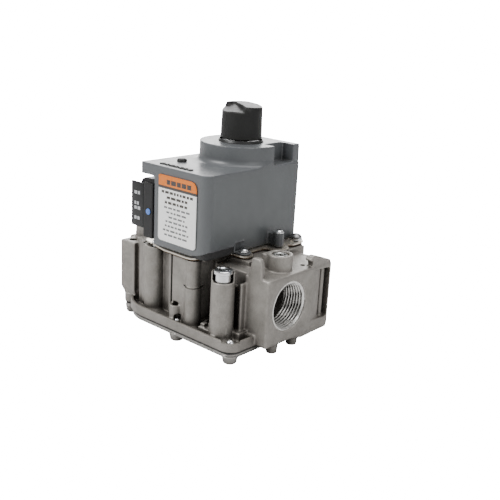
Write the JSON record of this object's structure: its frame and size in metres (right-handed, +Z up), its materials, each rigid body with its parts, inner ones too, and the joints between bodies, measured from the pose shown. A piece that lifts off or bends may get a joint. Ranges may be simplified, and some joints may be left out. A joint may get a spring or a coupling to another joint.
{
  "type": "gas valve",
  "caption": "Combination gas control valve with a cast body, threaded side ports, a painted solenoid cover, a manual knob and a terminal block.",
  "frame": {"origin": "centre of the valve's footprint on the plane of the feet under the bottom cover", "axes": "+X along the gas flow towards the outlet port, -Y towards the label side, +Z up towards the knob"},
  "size_m": [0.11, 0.0792, 0.1262],
  "materials": {
    "cast_aluminium": "as-cast, fine-grained satin",
    "painted_cover": "satin grey paint",
    "black_plastic": "moulded, satin",
    "zinc_steel": "bright zinc plated",
    "spring_steel": "drawn wire",
    "brass": "machined",
    "rubber": "matt",
    "coil_winding": "enamelled winding",
    "label_white": "printed film",
    "label_orange": "printed film",
    "blue_marker": "paint dot"
  },
  "bodies": {
    "valve_body": {"main_body": "cast_aluminium", "bottom_cover": "cast_aluminium", "cover": "painted_cover", "knob_bezel": "black_plastic", "cover_button": "black_plastic", "terminal_block": "black_plastic", "terminal_wing": "black_plastic", "inlet_screen": "zinc_steel", "foot_screw_1": "zinc_steel", "foot_screw_2": "zinc_steel", "foot_screw_3": "zinc_steel", "foot_screw_4": "zinc_steel", "foot_screw_5": "zinc_steel", "foot_screw_6": "zinc_steel", "mounting_plate": "zinc_steel", "first_valve_core_tube": "zinc_steel", "first_valve_yoke": "zinc_steel", "servo_valve_core_tube": "zinc_steel", "servo_valve_yoke": "zinc_steel", "regulator_cap": "zinc_steel", "outlet_tap_plug": "zinc_steel", "inlet_tap_plug": "zinc_steel", "cover_screw_front": "zinc_steel", "cover_screw_side": "zinc_steel", "plate_screw": "zinc_steel", "ground_washer": "zinc_steel", "ground_screw": "zinc_steel", "terminal_blade_1": "zinc_steel", "terminal_blade_2": "zinc_steel", "terminal_blade_3": "zinc_steel", "knob_spring": "spring_steel", "first_valve_spring": "spring_steel", "servo_valve_spring": "spring_steel", "main_valve_spring": "spring_steel", "regulator_spring": "spring_steel", "pilot_fitting": "brass", "diaphragm_sheet": "rubber", "top_gasket": "rubber", "regulator_poppet": "rubber", "lead_wire_common": "rubber", "lead_wire_first": "rubber", "lead_wire_servo": "rubber", "first_valve_coil": "coil_winding", "servo_valve_coil": "coil_winding", "label_panel": "label_white", "label_header": "label_orange", "blue_marker": "blue_marker"},
    "knob_carrier": {"knob_spring_washer": "zinc_steel"},
    "knob_group": {"knob": "black_plastic", "knob_stem": "zinc_steel"},
    "rotor": {"manual_valve_rotor": "brass"},
    "first_valve": {"first_valve_plunger": "zinc_steel", "first_valve_disc": "rubber"},
    "servo_valve": {"servo_valve_plunger": "zinc_steel", "servo_valve_disc": "rubber"},
    "main_valve": {"main_valve_disc": "rubber", "diaphragm_plate": "zinc_steel"},
    "regulator_carrier": {"regulator_spring_seat": "zinc_steel"},
    "regulator_adjuster": {"regulator_screw": "black_plastic"},
    "pilot_adjuster": {"pilot_screw": "brass"}
  },
  "joints": [
    {"name": "knob_push", "type": "slide", "parent": "valve_body", "child": "knob_carrier", "axis": [0, 0, -1], "range_m": [0, 0.001], "stiffness_N_per_m": 900, "springref_m": -0.005, "deforming": ["knob_spring"]},
    {"name": "knob_turn", "type": "hinge", "parent": "knob_carrier", "child": "knob_group", "pos_m": [-0.0017, 0.0145, 0.107], "axis": [0, 0, 1], "range_deg": [0, 90]},
    {"name": "rotor_turn", "type": "hinge", "parent": "valve_body", "child": "rotor", "pos_m": [-0.0017, 0.0145, 0.042], "axis": [0, 0, 1], "range_deg": [0, 90]},
    {"name": "first_valve_lift", "type": "slide", "parent": "valve_body", "child": "first_valve", "axis": [0, 0, 1], "range_m": [0, 0.0025], "stiffness_N_per_m": 250, "springref_m": -0.006, "deforming": ["first_valve_spring"]},
    {"name": "servo_valve_lift", "type": "slide", "parent": "valve_body", "child": "servo_valve", "axis": [0, 0, 1], "range_m": [0, 0.0015], "stiffness_N_per_m": 250, "springref_m": -0.006, "deforming": ["servo_valve_spring"]},
    {"name": "main_valve_lift", "type": "slide", "parent": "valve_body", "child": "main_valve", "axis": [0, 0, 1], "range_m": [0, 0.003], "stiffness_N_per_m": 300, "springref_m": -0.005, "deforming": ["main_valve_spring"]},
    {"name": "regulator_travel", "type": "slide", "parent": "valve_body", "child": "regulator_carrier", "axis": [0, 0, 1], "range_m": [-0.0016, 0.0016], "deforming": ["regulator_spring"]},
    {"name": "regulator_turn", "type": "hinge", "parent": "regulator_carrier", "child": "regulator_adjuster", "pos_m": [0.0316, -0.0309, 0.032], "axis": [0, 0, 1], "range_deg": [-720, 720]},
    {"name": "pilot_turn", "type": "hinge", "parent": "valve_body", "child": "pilot_adjuster", "pos_m": [0.002, 0.036, 0.03], "axis": [0, 1, 0], "range_deg": [-360, 360]}
  ],
  "couplings": [
    {"joint": "rotor_turn", "follows": "knob_turn", "ratio": 1},
    {"joint": "regulator_turn", "follows": "regulator_travel", "rad_per_m": 7854}
  ]
}
